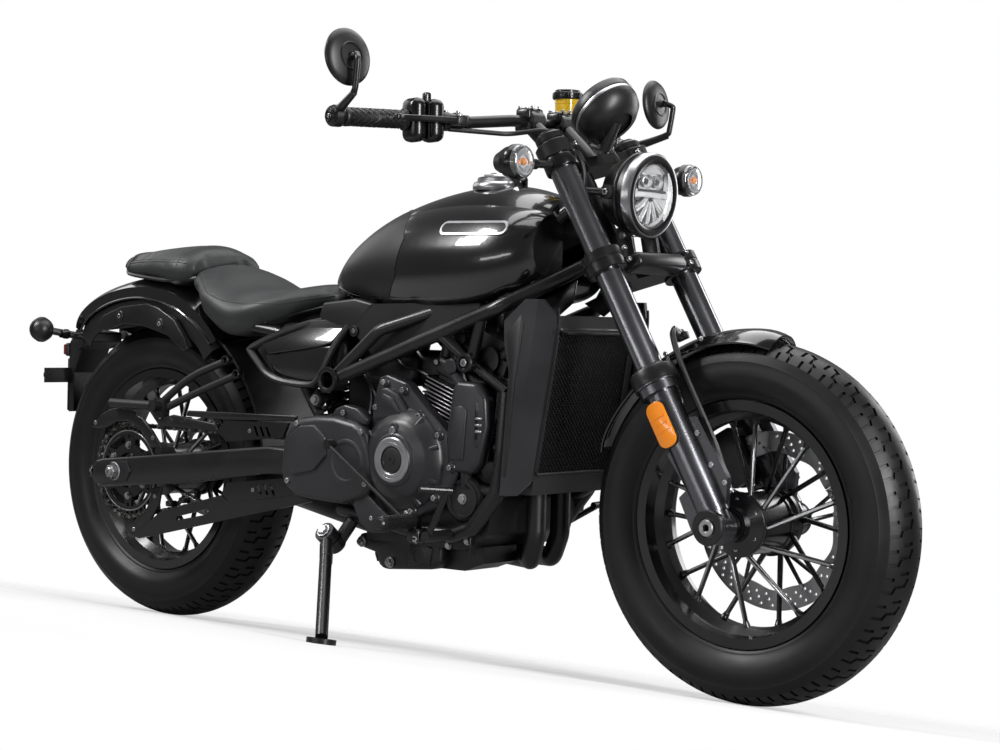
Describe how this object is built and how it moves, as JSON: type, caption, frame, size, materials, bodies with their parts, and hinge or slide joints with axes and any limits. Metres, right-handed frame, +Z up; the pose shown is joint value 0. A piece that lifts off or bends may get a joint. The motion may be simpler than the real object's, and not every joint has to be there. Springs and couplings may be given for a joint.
{
  "type": "cruiser motorcycle",
  "caption": "Mid-size black cruiser motorcycle on its side stand, with a trellis frame, liquid-cooled twin engine, laced-look cast wheels and bar-end mirrors.",
  "frame": {"origin": "centre of the underside of the bounding box, on the ground under the leaning machine", "axes": "+X forward along the machine, +Y to its left, +Z up; the machine leans 10 degrees to its right onto its side stand"},
  "size_m": [2.1542, 1.0169, 1.2344],
  "materials": {
    "gloss_black_paint": "gloss",
    "satin_black_steel": "satin",
    "dark_cast_aluminium": "satin",
    "bright_steel": "brushed",
    "chain_steel": "satin",
    "black_wheel_paint": "gloss",
    "tyre_rubber": "matte",
    "black_exhaust": "satin",
    "black_plastic": "matte",
    "radiator_black": "matte",
    "seat_leather": "matte",
    "spring_steel": "satin",
    "rubber_grip": "matte",
    "amber_fluid": "gloss",
    "red_lens": "gloss"
  },
  "bodies": {
    "frame": {"frame_spine": "satin_black_steel", "trellis_frame": "satin_black_steel", "engine_cradle": "satin_black_steel", "seat_subframe": "satin_black_steel", "swingarm": "satin_black_steel", "rear_axle": "bright_steel", "drive_chain": "chain_steel", "chain_guards": "satin_black_steel", "crankcase": "dark_cast_aluminium", "cylinder_block": "dark_cast_aluminium", "cylinder_head": "dark_cast_aluminium", "alternator_cover": "dark_cast_aluminium", "clutch_cover": "dark_cast_aluminium", "sprocket_cover": "dark_cast_aluminium", "coolant_housing": "dark_cast_aluminium", "radiator": "radiator_black", "radiator_shrouds": "black_plastic", "exhaust_headers": "black_exhaust", "muffler": "black_exhaust", "fuel_tank": "gloss_black_paint", "rider_seat": "seat_leather", "pillion_seat": "seat_leather", "rear_fender": "gloss_black_paint", "fender_liner": "black_plastic", "plate_bracket": "black_plastic", "tail_lamp": "red_lens", "rear_indicators": "black_plastic", "side_covers": "gloss_black_paint", "tank_underpanels": "black_plastic", "foot_pegs": "rubber_grip", "foot_controls": "satin_black_steel", "rear_shock": "spring_steel", "rear_caliper": "dark_cast_aluminium"},
    "steering": {"fork_clamps": "satin_black_steel", "fork_tubes": "satin_black_steel", "fork_legs": "satin_black_steel", "front_axle": "bright_steel", "front_fender": "gloss_black_paint", "handlebar": "satin_black_steel", "bar_controls": "black_plastic", "bar_cables": "rubber_grip", "mirrors": "black_plastic", "headlamp": "black_plastic", "instrument": "black_plastic", "front_indicators": "black_plastic", "front_caliper": "dark_cast_aluminium", "brake_reservoir": "amber_fluid", "brake_hose": "rubber_grip"},
    "front_wheel": {"front_tyre": "tyre_rubber", "front_rim": "black_wheel_paint", "front_disc": "bright_steel"},
    "rear_wheel": {"rear_tyre": "tyre_rubber", "rear_rim": "black_wheel_paint", "rear_disc": "bright_steel", "rear_sprocket": "bright_steel"},
    "side_stand": {"side_stand": "satin_black_steel"},
    "fuel_cap": {"fuel_cap": "dark_cast_aluminium"}
  },
  "joints": [
    {"name": "steering", "type": "hinge", "parent": "frame", "child": "steering", "pos_m": [0.38266, 0.04295, 0.85821], "axis": [-0.503, -0.1501, 0.8511], "range_deg": [-35, 35]},
    {"name": "front_wheel_spin", "type": "hinge", "parent": "steering", "child": "front_wheel", "pos_m": [0.75743, 0.13831, 0.31735], "axis": [0, 0.9848, 0.1736], "continuous": true},
    {"name": "rear_wheel_spin", "type": "hinge", "parent": "frame", "child": "rear_wheel", "pos_m": [-0.72757, 0.13807, 0.31873], "axis": [0, 0.9848, 0.1736], "continuous": true},
    {"name": "side_stand_fold", "type": "hinge", "parent": "frame", "child": "side_stand", "pos_m": [-0.10007, -0.02886, 0.20583], "axis": [0, 0.878, -0.4787], "range_deg": [0, 118]},
    {"name": "fuel_cap_lid", "type": "hinge", "parent": "frame", "child": "fuel_cap", "pos_m": [0.21193, 0.03157, 0.92272], "axis": [0, 0.9848, 0.1736], "range_deg": [0, 95]}
  ]
}
